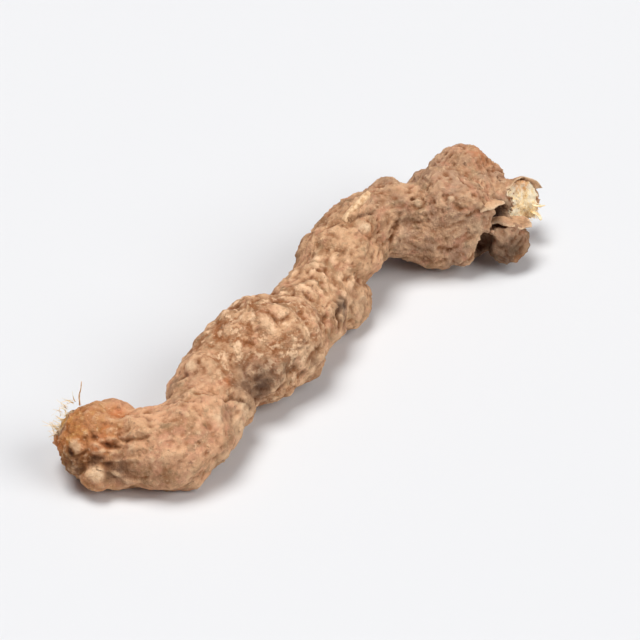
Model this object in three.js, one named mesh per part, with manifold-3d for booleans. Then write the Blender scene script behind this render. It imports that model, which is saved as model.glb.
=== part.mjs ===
// A dried atractylodes rhizome: one woody piece, grown as a chain of swollen joints that lie one
// behind the other in a slack S. Millimetres, +Z up, resting on the plane z = 0, its length along X.
//
// Each joint is a capsule bent along its own line. The joints, the knobs and root bases that grew on
// them and the stumps of snapped shoots are joined into one solid. The two ends where the piece was
// broken off are cut back, and the undersides that carry the weight are cut flat where it settled.

import * as THREE from "three";
import { ImprovedNoise } from "three/addons/math/ImprovedNoise.js";
import { mergeVertices } from "three/addons/utils/BufferGeometryUtils.js";
import Module from "manifold-3d";

// Driving dimensions.
const GIRTH = 5.0; // usual radius of a joint
const SETTLED = 0.35; // depth of the flats that the piece rests on

// Fineness of the skin.
const SIDES = 28; // faces round a joint
const RING = 1.3; // spacing of the rings along a joint
const KNOB_SIDES = 16;
const ROOT_SIDES = 9;

// Stations along each joint: [x, y, radius in girths, height of the underside over the surface].
const JOINTS = {
  foot: [
    [-41.0, 3.5, 0.8, 0.7],
    [-38.9, 1.0, 0.96, 0.3],
    [-36.4, -2.8, 0.97, 0],
    [-33.2, -6.6, 1.0, 0],
    [-29.5, -8.5, 1.02, 0.2],
    [-24.6, -8.0, 0.9, 1.2],
    [-20.0, -6.4, 0.6, 2.4],
  ],
  belly: [
    [-26.5, -7.5, 0.8, 1],
    [-21.8, -4.2, 1.04, 0.3],
    [-18.2, -2.4, 1.07, 0.1],
    [-13.1, -2.3, 1.2, 0],
    [-8.2, -1.9, 1.22, 0],
    [-4.0, 0, 0.98, 0.6],
    [-0.6, 1.4, 0.78, 1],
  ],
  waist: [
    [-7.5, -1.2, 0.9, 1],
    [-2.8, 0.3, 1.02, 0.8],
    [1.3, 1.6, 0.98, 1.2],
    [6.2, 4.0, 0.92, 1.8],
    [9.9, 6.0, 1.0, 2.2],
    [14.0, 7.6, 1.04, 2.6],
    [17.9, 7.6, 0.98, 2.6],
    [21.2, 6.5, 0.8, 2.3],
  ],
  head: [
    [14.5, 8.0, 0.85, 2.8],
    [18.2, 7.6, 0.98, 2.6],
    [21.3, 6.4, 0.98, 1.8],
    [23.8, 4.9, 1.14, 0.6],
    [26.6, 3.8, 1.32, 0],
    [29.4, 2.9, 1.24, 0.2],
    [32.0, 2.4, 0.94, 2.0],
    [34.6, 1.8, 0.7, 3.4],
  ],
};

// Knobs that grew on the joints: centre, half lengths, and turn about Z in degrees.
const KNOBS = [
  { at: [31.9, 6.1, 8.7], half: [5.0, 3.9, 4.2], turn: -36 }, // bud mass behind the head
  { at: [30.2, 3.8, 8.6], half: [4.4, 3.3, 3.5], turn: -36 }, // shoulder between it and the head
  { at: [33.8, 3.9, 8.5], half: [3.4, 2.7, 2.9], turn: -36 }, // shoulder over the snapped shoot
  { at: [28.4, 8.2, 6.0], half: [4.0, 3.4, 3.8], turn: 20 }, // its neighbour, lower down
  { at: [6.5, 0.6, 3.6], half: [4.1, 3.0, 3.5], turn: 28 }, // side shoot under the waist
  { at: [-40.0, -4.6, 3.0], half: [2.0, 1.9, 1.8], turn: 0 }, // root knob at the toe
  { at: [-33.9, -1.3, 6.2], half: [2.8, 2.6, 3.1], turn: -30 }, // shoulder over the toe
  { at: [-20.4, -8.0, 5.0], half: [2.6, 1.9, 3.0], turn: -24 }, // lip of the foot under the belly
  { at: [-12.5, 2.9, 4.4], half: [3.6, 2.6, 3.0], turn: 10 }, // old bud scar behind the belly
  { at: [25.5, -0.9, 4.0], half: [2.3, 1.9, 2.5], turn: -34 }, // low corner of the head by the peg
  { at: [31.2, -3.5, 3.3], half: [3.1, 2.6, 2.9], turn: 30 }, // blunt end of the peg
];

// Stumps of shoots and roots that snapped off: where each runs from and to, its radius at each,
// and the way its broken face looks.
const STUMPS = [
  // bare wood at the head
  { from: [31.5, 3.6, 6.5], to: [37.0, -0.6, 6.1], thick: [3.4, 2.8], facing: [0.22, -0.9, 0.38] },
  // peg under it
  { from: [32.6, 1.2, 4.9], to: [31.5, -3.3, 3.5], thick: [2.4, 2.4], facing: [-0.2, -0.8, -0.5] },
  // dry rootlet on the waist
  { from: [11.6, 6.0, 11.6], to: [15.3, 6.5, 13.9], thick: [0.45, 0.35], facing: [0.9, 0.1, 0.4] },
];

// Bases of roots on the undersides and the back: [joint, share of its length, turn round it in
// degrees from the side that faces -Y, radius].
const ROOTS = [
  ["foot", 0.3, -150, 1.2],
  ["foot", 0.62, -172, 1.4],
  ["belly", 0.36, -165, 1.3],
  ["belly", 0.62, -140, 1.1],
  ["belly", 0.76, 178, 1.2],
  ["waist", 0.36, -120, 1.2],
  ["waist", 0.5, -160, 1.0],
  ["waist", 0.66, -100, 1.1],
  ["waist", 0.8, -150, 1.3],
  ["head", 0.42, -150, 1.1],
  ["head", 0.55, -118, 1.2],
];

// The toe snapped along a plane: a point on the break, the way it faces, and how far it reaches.
const BREAK = { at: [-39.2, 3.1, 6.0], facing: [-0.36, 0.88, 0.3], reach: 9 };

// Hollows: centre, half lengths, and turn about Z in degrees.
const HOLLOWS = [
  { at: [28.0, -2.3, 3.9], half: [1.6, 3.0, 3.0], turn: -34 }, // gap between the head and the peg
  { at: [30.6, -1.4, 7.1], half: [2.8, 2.8, 1.2], turn: -38 }, // pocket over the peg
];

// The body is uneven at two scales: [wavelength, height].
const UNEVEN = [
  [8, 1.5],
  [3.4, 0.7],
];

const UP = new THREE.Vector3(0, 0, 1);
const FORWARD = new THREE.Vector3(0, 1, 0); // the way that a plain capsule or cylinder points
const GROUND = { at: [0, 0, 0], facing: [0, 0, -1], reach: 200 };
const wasm = await Module();
wasm.setup();
const noise = new ImprovedNoise();

// How far the skin stands out from the smooth form at a point.
function relief(p) {
  return UNEVEN.reduce(
    (sum, [wave, height], octave) =>
      sum + height * noise.noise(p.x / wave + 7 * octave, p.y / wave, p.z / wave),
    0,
  );
}

// A closed geometry as a solid that can be joined and cut.
function solid(geometry) {
  const skin = geometry.clone();
  skin.deleteAttribute("normal");
  skin.deleteAttribute("uv");
  const welded = mergeVertices(skin, 1e-4);
  return new wasm.Manifold(
    new wasm.Mesh({
      numProp: 3,
      vertProperties: new Float32Array(welded.attributes.position.array),
      triVerts: new Uint32Array(welded.index.array),
    }),
  );
}

// The line of a joint, with its radius and its own directions at any share of its length.
function limb(stations) {
  const radii = stations.map(([, , girths]) => girths * GIRTH);
  const line = new THREE.CatmullRomCurve3(
    stations.map(([x, y, , lift], i) => new THREE.Vector3(x, y, radii[i] + lift - SETTLED)),
  );
  const swell = new THREE.CatmullRomCurve3(radii.map((r, i) => new THREE.Vector3(r, i, 0)));
  return {
    long: line.getLength(),
    at(share) {
      const t = line.getUtoTmapping(share);
      const ahead = line.getTangent(t);
      const side = new THREE.Vector3().crossVectors(ahead, UP).normalize();
      const rise = new THREE.Vector3().crossVectors(side, ahead);
      return { middle: line.getPoint(t), radius: swell.getPoint(t).x, ahead, side, rise };
    },
  };
}

// One joint: a capsule bent along its limb, with an uneven skin.
function joint({ long, at }) {
  const rings = Math.round((long - 2 * GIRTH) / RING);
  const capsule = new THREE.CapsuleGeometry(GIRTH, long - 2 * GIRTH, 7, SIDES, rings);
  const { position, normal } = capsule.attributes;
  for (let i = 0; i < position.count; i++) {
    const share = THREE.MathUtils.clamp(position.getY(i) / long + 0.5, 0, 1);
    const { middle, radius, ahead, side, rise } = at(share);
    const skin = middle
      .addScaledVector(side, (position.getX(i) * radius) / GIRTH)
      .addScaledVector(rise, (position.getZ(i) * radius) / GIRTH);
    const out = side
      .multiplyScalar(normal.getX(i))
      .addScaledVector(rise, normal.getZ(i))
      .addScaledVector(ahead, normal.getY(i));
    skin.addScaledVector(out, relief(skin));
    position.setXYZ(i, skin.x, skin.y, skin.z);
  }
  return solid(capsule);
}

// A knob: an uneven egg.
function knob({ at, half, turn }) {
  const egg = new THREE.SphereGeometry(1, KNOB_SIDES, KNOB_SIDES / 2 + 2);
  egg.scale(...half);
  egg.rotateZ(THREE.MathUtils.degToRad(turn));
  egg.translate(...at);
  const { position } = egg.attributes;
  for (let i = 0; i < position.count; i++) {
    const skin = new THREE.Vector3().fromBufferAttribute(position, i);
    const out = skin.clone().sub(new THREE.Vector3(...at)).normalize();
    skin.addScaledVector(out, 0.7 * relief(skin));
    position.setXYZ(i, skin.x, skin.y, skin.z);
  }
  return solid(egg);
}

// A stump: a round stick between two points, its far face slanted the way it broke.
function stump({ from, to, thick, facing }) {
  const start = new THREE.Vector3(...from);
  const end = new THREE.Vector3(...to);
  const broken = new THREE.Vector3(...facing);
  const along = end.clone().sub(start);
  const half = along.length() / 2;
  const stick = new THREE.CylinderGeometry(thick[1], thick[0], 2 * half, KNOB_SIDES, 4);
  along.normalize();
  stick.applyQuaternion(new THREE.Quaternion().setFromUnitVectors(FORWARD, along));
  stick.translate(...start.clone().add(end).multiplyScalar(0.5));
  const { position } = stick.attributes;
  for (let i = 0; i < position.count; i++) {
    const skin = new THREE.Vector3().fromBufferAttribute(position, i);
    const off = skin.clone().sub(end);
    const short = -off.dot(along);
    if (short > 0.01 * half) continue;
    skin.addScaledVector(along, -off.dot(broken) / along.dot(broken));
    position.setXYZ(i, skin.x, skin.y, skin.z);
  }
  return solid(stick);
}

// A root base: a low cone with a broken tip, standing out of the skin of a limb.
function root([name, share, turn, radius]) {
  const { middle, radius: girth, side, rise } = limbs[name].at(share);
  const angle = THREE.MathUtils.degToRad(turn);
  const out = side.multiplyScalar(Math.cos(angle)).addScaledVector(rise, Math.sin(angle));
  const from = middle.clone().addScaledVector(out, girth - radius);
  const to = middle.clone().addScaledVector(out, girth + 0.6 * radius);
  const cone = new THREE.CylinderGeometry(0.55 * radius, radius, from.distanceTo(to), ROOT_SIDES);
  cone.applyQuaternion(new THREE.Quaternion().setFromUnitVectors(FORWARD, out));
  from.add(to).multiplyScalar(0.5);
  cone.translate(from.x, from.y, from.z);
  return solid(cone);
}

// A block of what lies beyond a plane, on the side that it faces.
function beyond({ at, facing, reach }) {
  const block = new THREE.BoxGeometry(reach, reach, reach);
  block.translate(0, 0, reach / 2);
  const way = new THREE.Vector3(...facing).normalize();
  block.applyQuaternion(new THREE.Quaternion().setFromUnitVectors(UP, way));
  block.translate(...at);
  return solid(block);
}

const limbs = {};
for (const [name, stations] of Object.entries(JOINTS)) limbs[name] = limb(stations);

const grown = [
  ...Object.values(limbs).map(joint),
  ...KNOBS.map(knob),
  ...STUMPS.map(stump),
  ...ROOTS.map(root),
];
const taken = [beyond(BREAK), ...HOLLOWS.map(knob), beyond(GROUND)];
let body = grown.reduce((whole, piece) => whole.add(piece));
body = taken.reduce((whole, piece) => whole.subtract(piece), body);

const skin = body.getMesh();
const geometry = new THREE.BufferGeometry();
geometry.setAttribute("position", new THREE.BufferAttribute(skin.vertProperties, 3));
geometry.setIndex(new THREE.BufferAttribute(skin.triVerts, 1));
geometry.computeVertexNormals();

const bark = new THREE.MeshStandardMaterial({ color: 0xb38663, roughness: 0.9, metalness: 0 });
const rhizome = new THREE.Mesh(geometry, bark);
rhizome.name = "rhizome";

// The origin is under the middle of the piece, on the surface it rests on.
geometry.computeBoundingBox();
const middle = geometry.boundingBox.getCenter(new THREE.Vector3());
rhizome.position.set(-middle.x, -middle.y, 0);

const part = new THREE.Group();
part.add(rhizome);
export default part;
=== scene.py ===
import itertools
import math

import bpy
import numpy as np
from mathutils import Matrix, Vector


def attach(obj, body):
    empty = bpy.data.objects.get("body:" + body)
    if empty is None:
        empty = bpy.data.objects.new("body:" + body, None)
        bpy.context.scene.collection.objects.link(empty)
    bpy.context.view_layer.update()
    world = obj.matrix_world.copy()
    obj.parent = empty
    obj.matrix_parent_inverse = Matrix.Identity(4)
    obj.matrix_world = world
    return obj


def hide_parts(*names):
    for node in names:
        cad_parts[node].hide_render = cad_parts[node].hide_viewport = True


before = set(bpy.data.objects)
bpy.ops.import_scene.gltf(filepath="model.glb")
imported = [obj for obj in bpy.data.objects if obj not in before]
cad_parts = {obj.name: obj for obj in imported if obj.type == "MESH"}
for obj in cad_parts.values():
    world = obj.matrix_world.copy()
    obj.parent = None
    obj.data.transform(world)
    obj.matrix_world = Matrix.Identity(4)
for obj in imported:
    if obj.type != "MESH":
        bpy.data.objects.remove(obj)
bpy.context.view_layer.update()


# ---------------------------------------------------------------- the rhizome's body
# One grown piece: woody flesh under a dry, corky bark that shrank and wrinkled as the rhizome
# dried. The bark is lumpy and creased all over, warty round the waist, and smoother and pitted
# at the head. Both ends were snapped, and show pale wood.

MM = 0.001
FINE = 0.225 * MM  # spacing of the skin's points
RADIUS = 5.2  # usual radius of the piece, in mm
SMOOTHING = 34  # rounds that take the solid's facets out of the skin
CELL_MIX = np.array([73856093, 19349663, 83492791])  # large primes that scatter the cells


def strewn(cell, seed):
    """Three even numbers from 0 to 1 for each whole-number cell."""
    mixed = (cell * CELL_MIX).sum(1) ^ (seed * 668265263 + 374761393)
    found = []
    for _ in range(3):
        mixed = ((mixed ^ (mixed >> 15)) * 2246822519) & 0xFFFFFFFF
        mixed = ((mixed ^ (mixed >> 13)) * 3266489917) & 0xFFFFFFFF
        mixed ^= mixed >> 16
        found.append(mixed / 2**32)
    return np.stack(found, 1)


def rolling(points, wave, seed):
    """Smooth heights from about -1 to 1, with swellings about wave across."""
    place = points / wave
    cell = np.floor(place).astype(np.int64)
    part = place - cell
    ease = part**3 * (part * (part * 6 - 15) + 10)
    height = np.zeros(len(points))
    for corner in itertools.product((0, 1), repeat=3):
        slope = strewn(cell + corner, seed) * 2 - 1
        weight = np.where(corner, ease, 1 - ease).prod(1)
        height += weight * (slope * (part - corner)).sum(1)
    return 1.7 * height


def grains(points, wave, seed):
    """The nearest of grains strewn about wave apart: how far off it is, in waves, and three even
    numbers of its own."""
    place = points / wave
    cell = np.floor(place).astype(np.int64)
    near = np.full(len(points), 9.0)
    own = np.zeros((len(points), 3))
    for step in itertools.product((-1, 0, 1), repeat=3):
        centre = strewn(cell + step, seed)
        off = np.linalg.norm(cell + step + centre - place, axis=1)
        closer = off < near
        near = np.where(closer, off, near)
        own[closer] = strewn(cell + step, seed + 1)[closer]
    return near, own


def folds(points, wave, seed):
    """Thin crests, 1 at the top, that wander and join about wave apart."""
    return np.clip(1 - 2.4 * np.abs(rolling(points, wave, seed)), 0, 1) ** 2


def rise(value, low, high):
    """0 below low and 1 above high, with an easy slope between."""
    share = np.clip((value - low) / (high - low), 0, 1)
    return share * share * (3 - 2 * share)


def blob(points, centre, radius):
    """1 at the centre, easing to 0 at the radius."""
    return 1 - rise(np.linalg.norm(points - np.array(centre), axis=1) / radius, 0, 1)


def beside_line(points, line, facing):
    """How far each point is to one side or the other of a bent line on the skin, and where along
    it that is, from 0 to 1."""
    nearest = np.full(len(points), 1e9)
    side = np.ones(len(points))
    share = np.zeros(len(points))
    line = np.array(line, float)
    for step, (a, b) in enumerate(itertools.pairwise(line)):
        part = (points - a) @ (b - a) / ((b - a) @ (b - a))
        away = points - a - np.clip(part, 0, 1)[:, None] * (b - a)
        off = np.linalg.norm(away, axis=1)
        closer = off < nearest
        nearest = np.where(closer, off, nearest)
        side = np.where(closer, np.sign((away * np.cross(b - a, facing)).sum(1)), side)
        share = np.where(closer, (step + np.clip(part, -1, 2)) / (len(line) - 1), share)
    return nearest * side, np.clip(share, 0, 1)


def remeshed(source, name, spacing):
    """A copy of an object with its skin rebuilt as even, small faces."""
    copy = bpy.data.objects.new(name, source.data.copy())
    bpy.context.scene.collection.objects.link(copy)
    fine = copy.modifiers.new("fine skin", "REMESH")
    fine.mode = "VOXEL"
    fine.voxel_size = spacing
    shape = bpy.data.meshes.new_from_object(
        copy.evaluated_get(bpy.context.evaluated_depsgraph_get())
    )
    copy.modifiers.clear()
    copy.data = shape
    shape.name = name
    return copy


def points_of(mesh, field="co"):
    """All the mesh's points, or their normals, as rows of three."""
    rows = np.empty(len(mesh.vertices) * 3, np.float32)
    mesh.vertices.foreach_get(field, rows)
    return rows.reshape(-1, 3).astype(float)


body = remeshed(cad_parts["rhizome"], "grown_body", FINE)
skin = body.data
edges = np.empty(len(skin.edges) * 2, np.int32)
skin.edges.foreach_get("vertices", edges)
edges = edges.reshape(-1, 2)
ends = np.concatenate([edges, edges[:, ::-1]])
neighbours = np.bincount(ends[:, 0])[:, None]


def beside(values):
    """The mean of the values at each point's neighbours, column by column."""
    sums = [np.bincount(ends[:, 0], column[ends[:, 1]], len(values)) for column in values.T]
    return np.stack(sums, 1) / neighbours


def smoothed(values, rounds):
    """The values after each is drawn to its neighbours and pushed back a little, over and over, so
    that small bumps go and large forms keep their size."""
    for _ in range(rounds):
        for pull in (0.6, -0.62):
            values = values + pull * (beside(values) - values)
    return values


# P is the smoothed skin's points, in mm. Everything below is placed on it, in mm, in the frame.
P = smoothed(points_of(skin) / MM, SMOOTHING)
P[:, 2] = np.maximum(P[:, 2], 0)
skin.vertices.foreach_set("co", (P * MM).ravel())
skin.update()
outward = points_of(skin, "normal")

# Where each point lies along the piece and round it.
SLICE = 1.5  # mm
slices = np.arange(P[:, 0].min() + 1, P[:, 0].max() - 1, SLICE)
core = np.array([P[np.abs(P[:, 0] - x) < SLICE].mean(0) for x in slices])
core_length = np.r_[0, np.linalg.norm(np.diff(core, axis=0), axis=1).cumsum()]
along = np.interp(P[:, 0], slices, core_length)
across = P[:, 1:] - np.stack([np.interp(P[:, 0], slices, core[:, k]) for k in (1, 2)], 1)
turn = np.arctan2(across[:, 1], -across[:, 0])

# Zones of the bark: how strongly each point belongs to them.
toe = blob(P, (-41.5, 1.0, 7.0), 14)
foot = rise(-P[:, 0], 17, 24)
head = rise(P[:, 0], 13, 20)
warty = np.maximum.reduce(
    [
        blob(P, (3.5, 0.8, 9.5), 9.5),
        0.8 * blob(P, (-2.5, 0.5, 10.5), 7),
        0.6 * blob(P, (-6.0, -6.0, 6.0), 8),
        0.5 * blob(P, (9.5, 8.5, 7.0), 7),
    ]
)

knobbly = np.clip(1.7 * blob(P, (-11.5, -2.5, 8.5), 14.5), 0, 1)
on_peg = blob(P, (31.8, -4.2, 3.4), 4.6) * rise(-P[:, 1], 0.8, 2.0)

# Patches of another colour: where, how far they reach and how strong they are.
PATCHES = {
    # The bark's own dark stains, and painted shade: the hollow at the waist, the hollow where the
    # belly meets the foot on its left, and the belly's top left.
    "stains_and_painted_shade": [
        ((-15.0, -7.4, 6.8), 5.4, 1.0),
        ((-16.6, -7.6, 7.2), 3.8, 0.9),
        ((-12.0, -7.2, 7.0), 3.4, 0.6),
        ((-19.0, -7.4, 7.6), 2.0, 0.6),
        ((3.2, -3.2, 6.8), 2.8, 1.0),
        ((20.6, 4.2, 9.8), 2.0, 0.6),
        ((-41.1, -2.2, 4.2), 3.4, 0.8),
        ((-37.6, -6.9, 4.4), 2.8, 0.9),
        ((-23.2, -10.8, 7.8), 2.6, 0.35),
        ((-22.6, -4.0, 10.1), 3.8, 0.3),
        ((-25.1, -2.0, 8.1), 2.6, 0.8),
        ((-27.4, -5.9, 9.4), 1.7, 0.5),
        ((-39.2, -4.6, 6.1), 1.6, 0.7),
        ((-38.2, -6.1, 4.8), 1.6, 0.7),
    ],
    # Painted shade: the pocket and the recess over the peg at the head, the hollow at the waist and
    # two creases of the toe are painted dark.
    "painted_shade_in_recesses": [
        ((29.6, -0.9, 3.2), 3.6, 1.0),
        ((33.2, -0.5, 6.3), 3.0, 1.0),
        ((31.2, -0.8, 6.8), 2.4, 1.0),
        ((3.3, -3.2, 7.2), 1.6, 0.7),
        ((-38.6, -5.9, 3.4), 1.3, 0.7),
        ((-41.5, -2.0, 6.0), 1.2, 0.6),
    ],
    # The bark's own pale, rubbed spots on the knobs, the nodule and the head, and painted light:
    # the broad, weaker patches low on the front sides of the foot, the belly and the side shoot
    # lighten those sides.
    "pale": [
        ((-40.1, -5.4, 4.4), 1.7, 0.9),
        ((-40.6, -2.5, 7.3), 1.0, 0.5),
        ((-22.2, -2.7, 10.4), 1.2, 0.6),
        ((-25.3, -11.3, 8.9), 1.9, 0.5),
        ((-19.6, -9.8, 6.2), 2.6, 0.8),
        ((-22.0, -11.0, 5.0), 3.5, 0.5),
        ((-6.5, -6.5, 5.0), 3.2, 0.5),
        ((-8.3, -7.5, 8.0), 3.2, 0.4),
        ((1.0, -5.0, 4.0), 3.0, 0.4),
        ((7.5, -1.5, 4.5), 3.2, 0.45),
        ((-25.5, -11.6, 3.6), 3.2, 0.5),
        ((-31.5, -11.5, 3.2), 3.0, 0.4),
        ((13.1, 4.3, 10.9), 1.5, 1.0),
        ((22.6, 3.7, 10.8), 0.8, 0.9),
        ((25.3, 0.4, 11.8), 0.7, 0.9),
        ((27.3, -2.5, 7.4), 1.6, 0.7),
        ((27.2, -2.4, 5.2), 1.4, 0.6),
    ],
    "orange": [
        ((-40.3, 1.4, 6.2), 3.2, 1.0),
        ((-38.8, -4.5, 7.1), 1.5, 1.0),
        ((-37.4, -4.4, 8.5), 1.6, 0.7),
        ((-34.0, -2.8, 8.9), 2.2, 0.7),
        ((-19.5, -6.6, 9.2), 1.3, 0.8),
        ((13.6, 3.6, 10.4), 1.6, 0.6),
        ((35.0, 5.0, 11.5), 3.0, 0.6),
    ],
    "oily": [
        ((37.6, 0.0, 8.8), 2.2, 1.0),
        ((38.8, 0.6, 8.0), 1.8, 0.9),
        ((37.1, -1.6, 3.7), 1.7, 0.9),
        ((31.9, -5.9, 2.2), 2.0, 0.35),
    ],
}
wobbly = P + 0.45 * np.stack([rolling(P, 1.4, seed) for seed in (5, 6, 7)], 1)
zones = {
    name: np.maximum.reduce([strong * blob(wobbly, at, wide) for at, wide, strong in spots])
    for name, spots in PATCHES.items()
}


def broken(centre, facing, radius):
    """The broken face round a centre: 1 where the skin looks the way that it broke."""
    facing = np.array(facing) / np.linalg.norm(facing)
    flat = rise(outward @ facing, 0.72, 0.9)
    level = 1 - rise(np.abs((P - np.array(centre)) @ facing), 0.9, 1.6)
    return flat * level * (np.linalg.norm(P - np.array(centre), axis=1) < radius)


bare_head = broken((37.9, -0.4, 6.1), (0.22, -0.9, 0.38), 4.2)
bare_toe = broken((-38.3, 3.4, 6.0), (-0.36, 0.88, 0.3), 6)
bare = smoothed(np.maximum(bare_head, bare_toe)[:, None], 2)[:, 0]

# Relief of the bark, in mm: slow swells and lumps, thin shrivelled folds that run along the piece
# and across it, cracks, warts, pits and a fine grain. The numbers after a place are its wave in
# mm, or in parts of way, and its seed.
drift = np.stack([rolling(P, 6.5, seed) for seed in (1, 2, 3)], 1)
led = P + 1.3 * drift
way = np.stack(
    [
        (along + 2.2 * drift[:, 0]) / 4.6,
        RADIUS * np.cos(turn + 0.4 * drift[:, 1]) / 1.25,
        RADIUS * np.sin(turn + 0.4 * drift[:, 1]) / 1.25,
    ],
    1,
)
some = rise(rolling(P, 3.4, 15), -0.4, 0.5)
lumps = (
    0.30 * rolling(led, 4.6, 11)
    + 0.27 * rolling(led, 2.3, 12)
    + (0.28 - 0.12 * head) * np.abs(rolling(led, 2.9, 13))
)
shrivelled = (
    (0.24 - 0.1 * foot) * folds(way, 1, 21) * (0.4 + 0.6 * some)
    + 0.26 * foot * folds(way, 2.1, 27)
    + (0.14 - 0.08 * foot) * folds(way, 0.5, 22)
    + 0.11 * folds(led, 1.7, 23) * (1 - 0.6 * some)
    + (0.05 + 0.07 * head) * folds(led, 0.95, 24)
)
cracks = folds(led, 2.6, 25) ** 3 * rise(rolling(P, 2.2, 26), 0.05, 0.5)
wart_near, wart_own = grains(P + 0.5 * drift, 1.5, 31)
warts = (0.3 + 0.7 * wart_own[:, 0]) * rise(0.85 - wart_near, 0, 0.75)
lobe_near, lobe_own = grains(led, 2.6, 35)
lobes = (0.4 + 0.6 * lobe_own[:, 0]) * rise(0.78 - lobe_near, 0, 0.7) * knobbly
pit_near, pit_own = grains(led, 2.6, 41)
pits = (pit_own[:, 0] < 0.4 * head) * rise(0.14 + 0.06 * pit_own[:, 1] - pit_near, 0, 0.1)
relief = (
    lumps
    + shrivelled * (1 - 0.35 * warty) * (1 - 0.4 * knobbly)
    + 0.5 * warts * warty
    + 0.55 * lobes
    - (0.24 - 0.12 * foot) * cracks
    - 0.35 * pits
    + 0.35 * on_peg * folds(led, 1.3, 53)
    + 0.2 * toe * folds(led, 1.25, 54)
    + 0.07 * rolling(led, 0.62, 51)
    + 0.05 * rolling(P, 0.42, 52)
)
relief -= relief.mean()

# Creases: where each runs, how deep it is and how wide.
CREASES = [
    ([(-28.7, -5.3, 9.2), (-27.9, -6.4, 9.7), (-26.8, -8.0, 10.2), (-23.2, -9.4, 9.3)], 0.3, 0.3),
    ([(-23.2, -9.2, 9.3), (-20.5, -8.5, 7.6), (-19.3, -9.3, 6.8), (-18.3, -9.6, 5.5)], 0.5, 0.5),
    ([(-38.8, -2.2, 8.9), (-38.4, -4.2, 7.8), (-37.1, -6.3, 7.0), (-36.2, -7.4, 7.4)], 0.32, 0.26),
    ([(-36.7, -5.5, 8.2), (-36.1, -6.8, 8.0), (-35.0, -7.6, 8.6), (-33.8, -8.7, 8.8)], 0.3, 0.24),
    ([(-40.7, -3.2, 3.8), (-40.2, -4.1, 5.4), (-39.3, -4.8, 5.7), (-38.6, -5.6, 5.1)], 0.4, 0.6),
    ([(-39.3, -4.8, 5.7), (-38.6, -5.6, 5.1), (-38.3, -6.1, 3.9)], 0.35, 0.6),
    ([(-24.6, -2.4, 9.2), (-23.5, -3.3, 9.8), (-22.3, -3.9, 10.2)], 0.4, 0.35),
    ([(-41.0, -1.7, 7.4), (-41.5, -1.9, 6.3), (-41.0, -2.8, 5.9)], 0.4, 0.3),
    ([(17.0, 3.2, 4.5), (17.5, 3.1, 7.4), (18.9, 3.8, 8.8), (19.9, 4.2, 10.1)], 0.3, 0.4),
    ([(28.8, 3.4, 12.5), (28.8, 2.1, 12.3), (28.5, 0.5, 12.3)], 0.35, 0.25),
    ([(22.7, 0.0, 4.9), (23.5, -0.6, 4.4), (24.3, -1.1, 4.9), (25.7, -2.0, 5.3)], 0.28, 0.2),
    ([(26.4, -1.1, 10.9), (26.8, -1.6, 9.6)], 0.35, 0.25),
    ([(14.4, 6.0, 12.6), (16.4, 5.6, 10.8)], 0.4, 0.28),
    ([(20.1, 9.4, 11.4), (20.9, 7.6, 11.5)], 0.35, 0.28),
    ([(-5.9, -7.6, 4.9), (-7.9, -6.6, 9.2), (-7.6, -3.8, 11.0), (-3.1, 3.2, 9.0)], 0.25, 0.6),
    ([(-12.6, -7.6, 2.6), (-9.8, -7.2, 3.4), (-7.4, -6.4, 4.2)], 0.3, 0.3),
    ([(0.8, -4.7, 5.4), (1.5, -3.9, 7.0), (2.6, -2.9, 7.8)], 0.6, 0.45),
    ([(-33.4, -4.8, 9.2), (-32.6, -6.6, 9.9), (-33.0, -8.0, 9.2)], 0.3, 0.6),
]
wandering = P + 0.3 * np.stack([rolling(P, 1.5, seed) for seed in (61, 62, 63)], 1)
ragged = 1 + 0.5 * rolling(P, 0.8, 64)
creased = np.zeros(len(P))
for line, depth, width in CREASES:
    off, share = beside_line(wandering, line, outward)
    fades = np.sin(np.pi * np.clip(0.06 + 0.88 * share, 0, 1)) ** 0.6
    off = off * ragged / (width * (0.6 + 0.5 * fades))
    creased = np.maximum(creased, depth * fades * np.exp(-(off**2)))
    relief += 0.45 * depth * fades * np.exp(-((off - 1.7) ** 2) / 1.1)
relief -= creased

# Knobs that stand up out of the bark: where, how wide and how high.
KNOBS = [
    ((-40.5, -2.5, 7.3), 1.0, 0.55),
    ((-38.8, -4.5, 7.1), 1.0, 0.4),
    ((-37.4, -4.4, 8.6), 1.2, 0.3),
    ((-40.1, -5.2, 4.2), 1.7, 0.1),
    ((-22.2, -2.7, 10.3), 1.1, 0.4),
    ((-0.5, -1.0, 9.9), 1.0, 0.45),
    ((13.6, 4.1, 10.6), 0.9, 0.35),
    ((22.6, 3.7, 10.8), 0.6, 0.3),
    ((25.3, 0.4, 11.8), 0.5, 0.3),
]
for centre, radius, height in KNOBS:
    off = np.linalg.norm(P - np.array(centre), axis=1) * (1 + 0.15 * rolling(P, 1.1, 65)) / radius
    crown = np.exp(-((off / 0.8) ** 4))
    moat = np.exp(-((off - 1.25) ** 2) / 0.05)
    relief += height * crown - 0.3 * height * moat

# Torn wood in the broken faces: stiff bundles of fibres that snapped at different heights.
_, bundle_own = grains(P, 0.95, 71)
torn = 0.5 * (bundle_own[:, 0] - 0.5) + 0.2 * rolling(P, 0.7, 72) - 0.1
relief = relief * (1 - bare) + torn * bare

# The flats underneath stay flat, and nothing reaches below them.
FLAT_WITHIN = 0.02  # mm
finished = P + outward * relief[:, None]
finished[:, 2] = np.where(P[:, 2] < FLAT_WITHIN, 0, np.maximum(finished[:, 2], 0))
skin.vertices.foreach_set("co", (finished * MM).ravel())
skin.polygons.foreach_set("use_smooth", np.ones(len(skin.polygons), bool))
skin.update()

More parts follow.
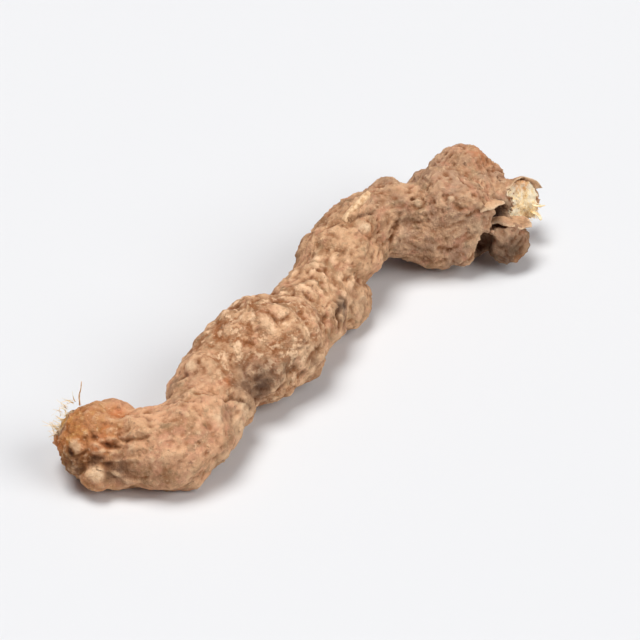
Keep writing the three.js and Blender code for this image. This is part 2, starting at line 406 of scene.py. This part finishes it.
# How far each point stands above the skin close round it, and lies below the skin farther round.
wide = relief[:, None]
for _ in range(30):
    wide = wide + 0.5 * (beside(wide) - wide)
stands = (smoothed(relief[:, None], 1) - wide)[:, 0]
hollow = (smoothed(wide, 60) - smoothed(relief[:, None], 4))[:, 0]
# Painted shade: the skin's dips, its creases and its pits are painted a darker brown through the
# zone built from these.
dip_shade = (1 - 0.45 * foot) * rise(-stands, 0.02, 0.26)
zones |= {
    "toe": toe,
    "foot": foot,
    "head": head,
    "knobbly": knobbly,
    "peg": on_peg,
    "bare": bare,
    "edge": rise(bare, 0.05, 0.3) * (1 - rise(bare, 0.5, 0.8)),
    "snapped_toe": bare * rise(-P[:, 0], 20, 25),
    "painted_shade_in_creases_and_pits": (1 - bare) * (dip_shade + 0.8 * rise(creased, 0.12, 0.5) + 0.6 * pits),
    # Painted highlight, with some dust: the crests that stand above the skin round them are painted
    # paler.
    "painted_highlight_and_dust_on_crests": rise(stands, 0.02, 0.22),
    "hollow": rise(hollow, -0.04, 0.22),
    "wart": (1 - bare) * np.maximum(rise(warts * warty, 0.1, 0.6), 0.6 * rise(lobes, 0.3, 0.9)),
}
for name, value in zones.items():
    skin.attributes.new(name, "FLOAT", "POINT").data.foreach_set(
        "value", np.clip(value, 0, 1).astype(np.float32)
    )


def linear(hex_colour):
    """An sRGB hex colour as linear red, green, blue and 1."""
    parts = [int(hex_colour[k : k + 2], 16) / 255 for k in (1, 3, 5)]
    return [c / 12.92 if c <= 0.04045 else ((c + 0.055) / 1.055) ** 2.4 for c in parts] + [1]


def add(tree, kind, inputs=(), **settings):
    """Adds a node with its settings, and links or sets its inputs."""
    node = tree.nodes.new(kind)
    for name, value in settings.items():
        setattr(node, name, value)
    for name, value in dict(inputs).items():
        if isinstance(value, bpy.types.NodeSocket):
            tree.links.new(value, node.inputs[name])
        else:
            node.inputs[name].default_value = value
    return node


# Dry corky bark, shrunk and dusty: matt, brown to buff, pale where it is rubbed. Painted shade
# darkens its creases, pits, dips, hollows and recesses, its crests are pale with dust and a painted
# highlight, and its lower front sides carry painted light. It passes into bare wood, which is cream
# with yellow fibres and orange spots of oil.
bark = bpy.data.materials.new("dry corky bark")
bark.use_nodes = True
tree = bark.node_tree
surface = tree.nodes["Principled BSDF"]
surface.inputs["Roughness"].default_value = 0.88
surface.inputs["Specular IOR Level"].default_value = 0.28
place = add(tree, "ShaderNodeTexCoord").outputs["Object"]

# Its colours over plain brown, from the lowest layer up: the colour, the zone it keeps to, the
# size of its patches in mm, their detail, the noise at which they begin and are full, and how
# little and how much they cover there.
BARK = [
    ("#dcae85", None, 2.8, 7, 0.42, 0.58, 0, 1),
    ("#b89479", "head", 3.0, 5, 0.40, 0.62, 0.15, 0.8),
    ("#e5af87", "foot", 2.6, 5, 0.42, 0.56, 0, 0.75),
    ("#cc8f70", None, 1.9, 4, 0.52, 0.64, 0, 0.55),
    ("#8a7352", None, 2.1, 4, 0.44, 0.34, 0, 0.5),
    ("#b26a2b", "toe", 1.8, 6, 0.34, 0.54, 0.6, 0.95),
    ("#d39d58", "toe", 1.0, 5, 0.50, 0.60, 0, 0.6),
    ("#9a6038", "knobbly", 1.5, 5, 0.48, 0.58, 0, 0.85),
    ("#f3cca4", "knobbly", 1.1, 5, 0.54, 0.62, 0, 0.9),
    ("#985a2e", "hollow", 1.5, 5, 0.36, 0.56, 0.3, 0.95),
    ("#c4641f", "orange", 0.9, 4, 0.35, 0.60, 0.45, 0.9),
    ("#eccaa4", None, 0.5, 4, 0.58, 0.70, 0, 0.5),
    # dark stains, and painted shade over the hollows and the belly's top left
    ("#644b3a", "stains_and_painted_shade", 1.2, 4, 0.33, 0.58, 0.6, 1),
    # painted highlight and some dust on the crests
    ("#ebc39a", "painted_highlight_and_dust_on_crests", 0.8, 4, 0.38, 0.60, 0.1, 0.7),
    ("#fbd0a6", "wart", 1.0, 4, 0.34, 0.56, 0.25, 1),
    # pale rubbed spots, and painted light on the front sides of the foot, the belly and the shoot
    ("#e9c8a2", "pale", 0.8, 4, 0.32, 0.55, 0.4, 1),
    ("#33251a", "peg", 1.2, 5, 0.35, 0.62, 0.8, 1),
    # painted shade in the dips, creases and pits
    ("#5a371f", "painted_shade_in_creases_and_pits", 0.7, 4, 0.34, 0.62, 0.25, 0.9),
    ("#4a2e1c", None, 0.7, 6, 0.40, 0.28, 0, 0.55),
    # painted shade in the pocket, the recesses and the creases of its zone
    ("#3a281e", "painted_shade_in_recesses", 0.6, 3, 0.30, 0.55, 0.85, 1),
    ("#fff0d2", "bare", 1.2, 2, 0.3, 0.31, 1, 1),
    ("#fddfa6", "bare", 0.8, 4, 0.43, 0.60, 0, 0.9),
    ("#e2a055", "bare", 0.55, 3, 0.60, 0.70, 0, 0.6),
    ("#fff6e0", "bare", 0.3, 2, 0.60, 0.70, 0, 0.7),
    ("#dd8f4c", "oily", 0.8, 4, 0.34, 0.58, 0.3, 0.95),
    ("#b98347", "snapped_toe", 0.8, 4, 0.34, 0.60, 0.3, 1),
    ("#7a4a2a", "edge", 0.5, 3, 0.30, 0.55, 0.6, 1),
]
marks = {
    name: add(tree, "ShaderNodeAttribute", attribute_name=name).outputs["Fac"] for name in zones
}
colour = linear("#a87d59")
for hue, zone, patch, detail, begins, is_full, least, most in BARK:
    noise = add(
        tree,
        "ShaderNodeTexNoise",
        {"Vector": place, "Scale": 1 / (patch * MM), "Detail": detail, "Roughness": 0.6},
    )
    share = add(
        tree,
        "ShaderNodeMapRange",
        {
            "Value": noise.outputs["Fac"],
            "From Min": begins,
            "From Max": is_full,
            "To Min": least,
            "To Max": most,
        },
    ).outputs["Result"]
    if zone:
        kept = add(tree, "ShaderNodeMath", {0: share, 1: marks[zone]}, operation="MULTIPLY")
        share = kept.outputs[0]
    layers = {0: share, 6: colour, 7: linear(hue)}
    colour = add(tree, "ShaderNodeMix", layers, data_type="RGBA").outputs[2]
tree.links.new(colour, surface.inputs["Base Color"])

# Grain of the cork. Its cells are about 0.05 mm, too fine to show, so it is drawn as grains of
# 0.4 mm with dust of 0.13 mm on them.
cells = add(tree, "ShaderNodeTexNoise", {"Vector": place, "Scale": 1 / (0.4 * MM), "Detail": 4})
dust = add(tree, "ShaderNodeTexNoise", {"Vector": place, "Scale": 1 / (0.13 * MM), "Detail": 2})
grain = add(
    tree,
    "ShaderNodeMath",
    {0: dust.outputs["Fac"], 1: 0.4, 2: cells.outputs["Fac"]},
    operation="MULTIPLY_ADD",
).outputs[0]
bump = add(tree, "ShaderNodeBump", {"Height": grain, "Strength": 1.0, "Distance": 0.32 * MM})
tree.links.new(bump.outputs["Normal"], surface.inputs["Normal"])

skin.materials.clear()
skin.materials.append(bark)
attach(body, "root")
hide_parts("rhizome")


# ---------------------------------------------------------------- torn bark at the head
# The bark is tougher than the wood. Where shoots snapped off it was left standing as thin, curled
# flaps: round the bare wood, over the peg and at the mouth of the pocket.

SHOOT_END = np.array([37.9, -0.5, 6.1])
SHOOT_RAN = np.array([5.5, -4.2, -0.4]) / np.linalg.norm([5.5, -4.2, -0.4])  # its direction


def eased(line, count):
    """A smooth line through points, as count points."""
    line = np.array(line, float)
    padded = np.concatenate([[2 * line[0] - line[1]], line, [2 * line[-1] - line[-2]]])
    spots = np.linspace(0, len(line) - 1, count)
    step = np.minimum(spots.astype(int), len(line) - 2)
    t = (spots - step).reshape((-1,) + (1,) * (line.ndim - 1))
    a, b, c, d = (padded[step + k] for k in range(4))
    bend = (2 * a - 5 * b + 4 * c - d) * t**2 + (3 * b - a - 3 * c + d) * t**3
    return 0.5 * (2 * b + (c - a) * t + bend)


def flap(rows, thick, seed, fine=0.22):
    """A thin curled sheet through rows of points, from where it is joined to where it tore, with
    a ragged, thinner rim: its corners, its faces and how torn each corner is."""
    rows = np.array(rows, float)
    wide = int(np.linalg.norm(np.diff(rows[0], axis=0), axis=1).sum() / fine) + 2
    deep = int(np.linalg.norm(np.diff(rows[:, 0], axis=0), axis=1).sum() / fine) + 3
    sheet = eased(np.swapaxes(eased(rows, deep), 0, 1), wide)
    out = np.cross(np.gradient(sheet, axis=0), np.gradient(sheet, axis=1))
    out /= np.linalg.norm(out, axis=2, keepdims=True) + 1e-9
    flat = sheet.reshape(-1, 3)
    wave = 0.22 * rolling(flat, 1.3, seed) + 0.1 * rolling(flat, 0.55, seed + 1)
    tear = 0.45 * rolling(flat, 0.9, seed + 2).reshape(wide, deep)
    reach = np.linspace(0, 1, deep)[None, :]
    u = np.linspace(-1, 1, wide)[:, None]
    ragged_by = np.gradient(sheet, axis=1) * (tear * reach * 3)[:, :, None]
    sheet = sheet + out * wave.reshape(wide, deep, 1) + ragged_by
    half_thick = out * (thick / 2 * (1 - 0.55 * reach**2) * (1 - 0.5 * u**6))[:, :, None]
    corners = np.concatenate([(sheet + side * half_thick).reshape(-1, 3) for side in (1, -1)])
    at = np.arange(wide * deep).reshape(wide, deep)
    below = at + wide * deep
    faces = [
        quad
        for i in range(wide - 1)
        for j in range(deep - 1)
        for quad in (
            (at[i, j], at[i + 1, j], at[i + 1, j + 1], at[i, j + 1]),
            (below[i, j], below[i, j + 1], below[i + 1, j + 1], below[i + 1, j]),
        )
    ]
    rim = [*at[:, 0], *at[-1, 1:], *at[-2::-1, -1], *at[0, -2:0:-1]]
    layer = wide * deep
    faces += [(a, a + layer, b + layer, b) for a, b in zip(rim, rim[1:] + rim[:1])]
    torn = np.tile(np.maximum(reach**6, u**8).ravel(), 2)
    return corners, faces, torn


def gathered(name, shells, finish):
    """One object made of many closed shells. Their torn rims are marked as pale."""
    corners, faces, pale, first = [], [], [], 0
    for points, quads, torn in shells:
        corners.append(points)
        pale.append(torn)
        faces += [tuple(int(k) + first for k in quad) for quad in quads]
        first += len(points)
    mesh = bpy.data.meshes.new(name)
    mesh.from_pydata(np.concatenate(corners) * MM, [], faces)
    mesh.polygons.foreach_set("use_smooth", np.ones(len(mesh.polygons), bool))
    mesh.attributes.new("pale", "FLOAT", "POINT").data.foreach_set(
        "value", np.concatenate(pale).astype(np.float32)
    )
    mesh.materials.append(finish)
    made = bpy.data.objects.new(name, mesh)
    bpy.context.scene.collection.objects.link(made)
    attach(made, "root")
    return made


# The curl round the bare wood follows the snapped shoot's own roundness, and opens a little.
lifted = np.array([0, 0, 1]) - SHOOT_RAN * SHOOT_RAN[2]
lifted /= np.linalg.norm(lifted)
sideways = np.cross(lifted, SHOOT_RAN)  # away from the front
curl = []
for back, radius in ((-2.6, 2.6), (-1.2, 2.8), (-0.2, 2.95), (0.35, 3.05)):
    ring = []
    for degrees in (0, 18, 36, 54, 72, 90, 115):
        angle = math.radians(degrees)
        across_shoot = lifted * math.sin(angle) + sideways * math.cos(angle)
        slant = 2.5 * math.cos(angle) - 1.8 * math.sin(angle)  # the break slopes back to front
        ring.append(SHOOT_END + SHOOT_RAN * (back + slant) + across_shoot * radius)
    curl.append(ring)

# A plate over the peg, and a tongue at the mouth of the pocket.
PLATE = [
    [(32.4, 1.0, 5.5), (33.9, -0.7, 5.4), (35.0, -2.0, 5.5), (35.9, -3.4, 5.6)],
    [(31.5, -0.1, 6.0), (33.3, -1.7, 5.9), (34.2, -2.9, 5.8), (35.4, -4.5, 5.7)],
    [(30.4, -0.9, 6.3), (31.7, -2.6, 6.2), (32.9, -3.9, 6.0), (34.6, -5.4, 5.7)],
]
TONGUE = [
    [(29.3, 0.0, 9.4), (30.9, -0.4, 9.2), (31.7, -1.0, 9.3)],
    [(28.6, -1.5, 10.3), (30.5, -1.7, 9.8), (32.1, -2.2, 9.7)],
    [(28.0, -2.4, 10.0), (30.0, -2.6, 9.5), (32.1, -2.8, 9.6)],
]
flaps = [flap(curl, 0.3, 81), flap(PLATE, 0.4, 84), flap(TONGUE, 0.35, 87)]

# Torn bark: the same dry, matt cork, with pale rims where it tore.
torn_bark = bark.copy()
torn_bark.name = "torn dry bark"
gathered("torn_bark_flaps", flaps, torn_bark)


# ---------------------------------------------------------------- rootlets and snapped fibres
# One dry rootlet still stands on the waist and a finer one on the toe. The wood tore into stiff,
# pale fibres at both ends.


def strand(line, thick, seed, sides=8, flat=1.0, fine=0.25, rough=0.35):
    """A round or flattened stick along a line, with its radius given along it: its corners, its
    faces and how torn each corner is."""
    length = np.linalg.norm(np.diff(np.array(line, float), axis=0), axis=1).sum()
    count = max(4, int(length / fine))
    middle = eased(line, count)
    radii = np.interp(np.linspace(0, 1, count), np.linspace(0, 1, len(thick)), thick)
    ahead = np.gradient(middle, axis=0)
    ahead /= np.linalg.norm(ahead, axis=1, keepdims=True)
    one = np.cross(ahead, [0.3, 0.2, 0.93])
    one /= np.linalg.norm(one, axis=1, keepdims=True)
    other = np.cross(ahead, one)
    corners = []
    for k in range(sides):
        angle = 2 * math.pi * k / sides
        corners.append(
            middle
            + one * (radii * math.cos(angle))[:, None]
            + other * (radii * flat * math.sin(angle))[:, None]
        )
    corners = np.stack(corners, 1).reshape(-1, 3)
    out = corners - np.repeat(middle, sides, 0)
    corners = corners + out * (rough * rolling(corners, 0.5, seed))[:, None]
    faces = []
    for first in range(0, (count - 1) * sides, sides):
        for k in range(sides):
            after = (k + 1) % sides
            faces.append((first + k, first + after, first + sides + after, first + sides + k))
    faces.append(tuple(range(sides))[::-1])
    faces.append(tuple((count - 1) * sides + k for k in range(sides)))
    return corners, faces, np.zeros(len(corners))


rng = np.random.default_rng(7)


def tuft(spots, facing, count, long, thick, spread, seed):
    """Broken fibres that stand out of spots along a torn edge."""
    facing = np.array(facing) / np.linalg.norm(facing)
    found = []
    for number in range(count):
        root = eased(spots, 50)[rng.integers(50)] + rng.normal(0, 0.15, 3)
        ahead = facing + rng.normal(0, spread, 3)
        ahead /= np.linalg.norm(ahead)
        length = long * rng.uniform(0.35, 1)
        bend = rng.normal(0, 0.18 * length, 3)
        halfway = root + 0.4 * length * ahead + bend * 0.3
        line = [root - 0.5 * ahead, halfway, root + length * ahead + bend]
        radius = thick * rng.uniform(0.6, 1.3)
        thickness = [radius, 0.9 * radius, 0.3 * radius]
        found.append(strand(line, thickness, seed + number, 5, rng.uniform(0.4, 1)))
    return found


# Dry wood fibre: cream to straw, matt.
fibre = bpy.data.materials.new("snapped wood fibre")
fibre.use_nodes = True
tree = fibre.node_tree
surface = tree.nodes["Principled BSDF"]
surface.inputs["Roughness"].default_value = 0.75
place = add(tree, "ShaderNodeTexCoord").outputs["Object"]
streaks = add(tree, "ShaderNodeTexNoise", {"Vector": place, "Scale": 1 / (0.8 * MM), "Detail": 4})
share = add(
    tree, "ShaderNodeMapRange", {"Value": streaks.outputs["Fac"], "From Min": 0.42, "From Max": 0.6}
)
straw = add(
    tree,
    "ShaderNodeMix",
    {0: share.outputs["Result"], 6: linear("#fdebc6"), 7: linear("#e6c283")},
    data_type="RGBA",
)
bump = add(
    tree,
    "ShaderNodeBump",
    {"Height": streaks.outputs["Fac"], "Strength": 0.5, "Distance": 0.1 * MM},
)
tree.links.new(straw.outputs[2], surface.inputs["Base Color"])
tree.links.new(bump.outputs["Normal"], surface.inputs["Normal"])

# The torn edges that fibres stand out of.
TOE_RIM = [(-40.6, 1.6, 6.6), (-39.6, 2.6, 8.0), (-37.6, 3.2, 8.8), (-36.2, 3.2, 9.0)]
TOE_BREAK = [(-40.5, 2.6, 4.0), (-38.3, 3.6, 6.0), (-36.4, 4.0, 6.5)]
UNDER_WOOD = [(37.3, -2.4, 4.2), (38.4, -2.2, 4.6), (39.2, -1.4, 5.4)]
ACROSS_WOOD = [(36.2, -1.2, 6.6), (37.6, -1.4, 5.6), (38.6, 0.1, 7.6)]
fibres = [
    *tuft(TOE_RIM, (-0.6, 0.4, 0.6), 34, long=1.5, thick=0.05, spread=0.5, seed=200),
    *tuft(TOE_BREAK, (-0.36, 0.88, 0.2), 40, long=1.0, thick=0.06, spread=0.35, seed=300),
    *tuft(UNDER_WOOD, (0.5, -0.6, -0.5), 34, long=0.9, thick=0.05, spread=0.5, seed=400),
    *tuft(ACROSS_WOOD, (0.22, -0.9, 0.38), 50, long=0.5, thick=0.05, spread=0.5, seed=500),
]

# Two curled shreds hang under the head's bare wood.
long_shred = [(38.0, -1.6, 4.9), (38.6, -2.4, 4.5), (38.7, -3.1, 3.9)]
short_shred = [(38.8, -1.2, 5.3), (39.6, -1.8, 5.1), (40.1, -2.3, 5.2)]
fibres += [
    strand(long_shred, [0.55, 0.7, 0.35], 601, 12, 0.25),
    strand(short_shred, [0.4, 0.45, 0.15], 603, 12, 0.3),
]
gathered("snapped_fibres", fibres, fibre)

on_waist = [(12.0, 6.4, 11.4), (12.9, 6.4, 12.3), (14.5, 6.3, 13.2), (16.2, 6.3, 13.95)]
on_toe = [(-36.0, 2.4, 8.4), (-35.8, 2.7, 9.6), (-35.5, 2.7, 10.5), (-35.2, 2.9, 11.4)]
rootlets = [
    strand(on_waist, [0.62, 0.5, 0.56, 0.48], 701, sides=14, flat=0.85, fine=0.15, rough=0.2),
    strand(on_toe, [0.12, 0.1, 0.08, 0.05], 702, sides=6),
]

# Dry rootlet: buff, fluted and matt.
rootlet_bark = bpy.data.materials.new("dry rootlet bark")
rootlet_bark.use_nodes = True
tree = rootlet_bark.node_tree
surface = tree.nodes["Principled BSDF"]
surface.inputs["Roughness"].default_value = 0.8
place = add(tree, "ShaderNodeTexCoord").outputs["Object"]
flutes = add(tree, "ShaderNodeTexNoise", {"Vector": place, "Scale": 1 / (0.5 * MM), "Detail": 4})
share = add(
    tree, "ShaderNodeMapRange", {"Value": flutes.outputs["Fac"], "From Min": 0.4, "From Max": 0.62}
)
buff = add(
    tree,
    "ShaderNodeMix",
    {0: share.outputs["Result"], 6: linear("#f0cb9f"), 7: linear("#c89a6e")},
    data_type="RGBA",
)
bump = add(
    tree,
    "ShaderNodeBump",
    {"Height": flutes.outputs["Fac"], "Strength": 0.7, "Distance": 0.15 * MM},
)
tree.links.new(buff.outputs[2], surface.inputs["Base Color"])
tree.links.new(bump.outputs["Normal"], surface.inputs["Normal"])
gathered("rootlets", rootlets, rootlet_bark)


# ---------------------------------------------------------------- the table and the light
# A pale, matt table top that runs to a low, lit white backdrop. A broad softbox hangs high above
# and behind, another fills from the front, and both are far enough off to light the table evenly.

REACH = 3.0  # from the middle of the table to its backdrop
BACKDROP_HEIGHT = 0.3

floor_mesh = bpy.data.meshes.new("table_top")
ground = [(-REACH, -REACH, 0), (REACH, -REACH, 0), (REACH, REACH, 0), (-REACH, REACH, 0)]
raised_edge = [(x, y, BACKDROP_HEIGHT) for x, y, _ in ground]
walls = [(k, (k + 1) % 4, (k + 1) % 4 + 4, k + 4) for k in range(4)]
floor_mesh.from_pydata(ground + raised_edge, [], [(0, 1, 2, 3), *walls])
floor = bpy.data.objects.new("table_top", floor_mesh)
bpy.context.scene.collection.objects.link(floor)

# Matt white paint: even and without gloss.
paint = bpy.data.materials.new("matt white table paint")
paint.use_nodes = True
surface = paint.node_tree.nodes["Principled BSDF"]
surface.inputs["Base Color"].default_value = linear("#dbdcdc")
surface.inputs["Roughness"].default_value = 0.9
floor_mesh.materials.append(paint)

# White paper lit from behind: as bright as the table, so that no dark edge shows above it.
paper = bpy.data.materials.new("white paper lit from behind")
paper.use_nodes = True
surface = paper.node_tree.nodes["Principled BSDF"]
surface.inputs["Base Color"].default_value = linear("#808080")
surface.inputs["Emission Color"].default_value = linear("#f2f2f4")
surface.inputs["Emission Strength"].default_value = 0.8
floor_mesh.materials.append(paper)
for wall in floor_mesh.polygons[1:]:
    wall.material_index = 1


def lamp(name, place, width, strength):
    """A softbox far off in the direction of a place, as wide as width degrees, that shines on the
    middle of the table."""
    light = bpy.data.lights.new(name, "SUN")
    light.angle = math.radians(width)
    light.energy = strength
    holder = bpy.data.objects.new(name, light)
    holder.location = place
    holder.rotation_euler = Vector(place).to_track_quat("Z", "Y").to_euler()
    bpy.context.scene.collection.objects.link(holder)


lamp("overhead softbox", (-0.27, 0.29, 1.85), 32, 2.71)
lamp("front fill", (0.6, -1.5, 1.3), 42, 1.63)
room = bpy.data.worlds.new("white room")
bpy.context.scene.world = room
room.use_nodes = True
room.node_tree.nodes["Background"].inputs["Color"].default_value = linear("#e9e0f6")
room.node_tree.nodes["Background"].inputs["Strength"].default_value = 0.135
bpy.context.scene.view_settings.view_transform = "Standard"


# ---------------------------------------------------------------- the camera
# It looks along the piece from in front of the toe, 36 degrees above the table and 0.57 m off,
# through a long lens.

camera = bpy.data.objects.new("camera", bpy.data.cameras.new("camera"))
bpy.context.scene.collection.objects.link(camera)
camera.data.sensor_width = 36
camera.data.lens = 250
camera.location = (-0.3062, -0.3405, 0.3441)
look = Vector((0.001, -0.001, 0.005)) - camera.location
camera.rotation_euler = look.to_track_quat("-Z", "Y").to_euler()
bpy.context.scene.camera = camera
